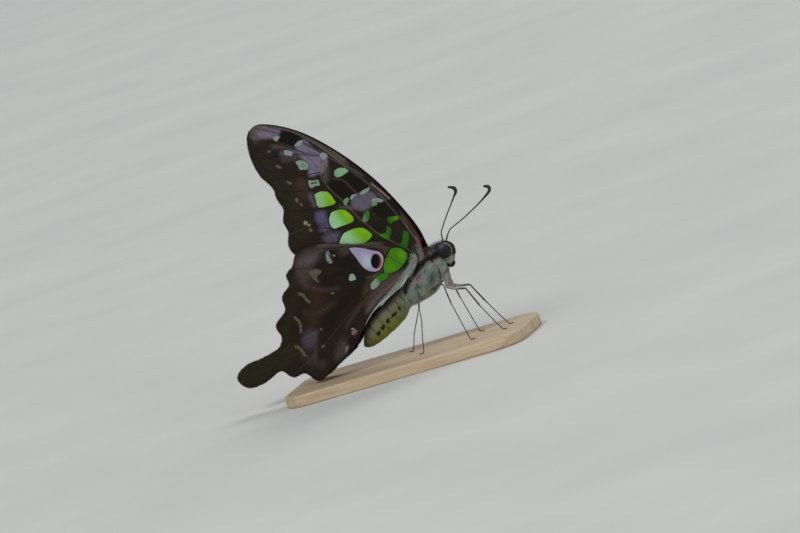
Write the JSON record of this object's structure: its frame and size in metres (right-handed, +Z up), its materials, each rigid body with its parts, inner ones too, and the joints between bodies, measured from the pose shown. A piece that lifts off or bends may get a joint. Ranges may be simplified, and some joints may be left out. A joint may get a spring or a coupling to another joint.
{
  "type": "swallowtail butterfly",
  "caption": "Life-size tailed jay, a swallowtail butterfly, standing on a small flat base with closed, green-spotted black wings, short tails and raised feelers.",
  "frame": {"origin": "centre of the underside of the display base", "axes": "+X ahead of the butterfly, +Y its left side, +Z up"},
  "size_m": [0.0646, 0.028, 0.0587],
  "materials": {
    "wing_scales": "matt scales, black-brown with green spots",
    "body_hair": "short soft grey hair with dark bands",
    "abdomen_scales": "flat olive-grey scales, yellowish below, with black spots",
    "eye": "glossy, very dark blue-brown",
    "leg": "grey-brown scaled horn",
    "horn": "satin black-brown horn",
    "stand_wood": "fine pale wood, satin"
  },
  "bodies": {
    "root": {"stand_base": "stand_wood", "abdomen": "abdomen_scales", "thorax": "body_hair", "head": "body_hair", "eye_left": "eye", "eye_right": "eye", "palp_left": "body_hair", "palp_right": "body_hair", "proboscis": "horn", "antenna_left": "horn", "antenna_right": "horn", "foreleg_left": "leg", "foreleg_right": "leg", "midleg_left": "leg", "midleg_right": "leg", "hindleg_left": "leg", "hindleg_right": "leg", "forewing_left": "wing_scales", "forewing_right": "wing_scales", "hindwing_left": "wing_scales", "hindwing_right": "wing_scales"}
  },
  "joints": []
}
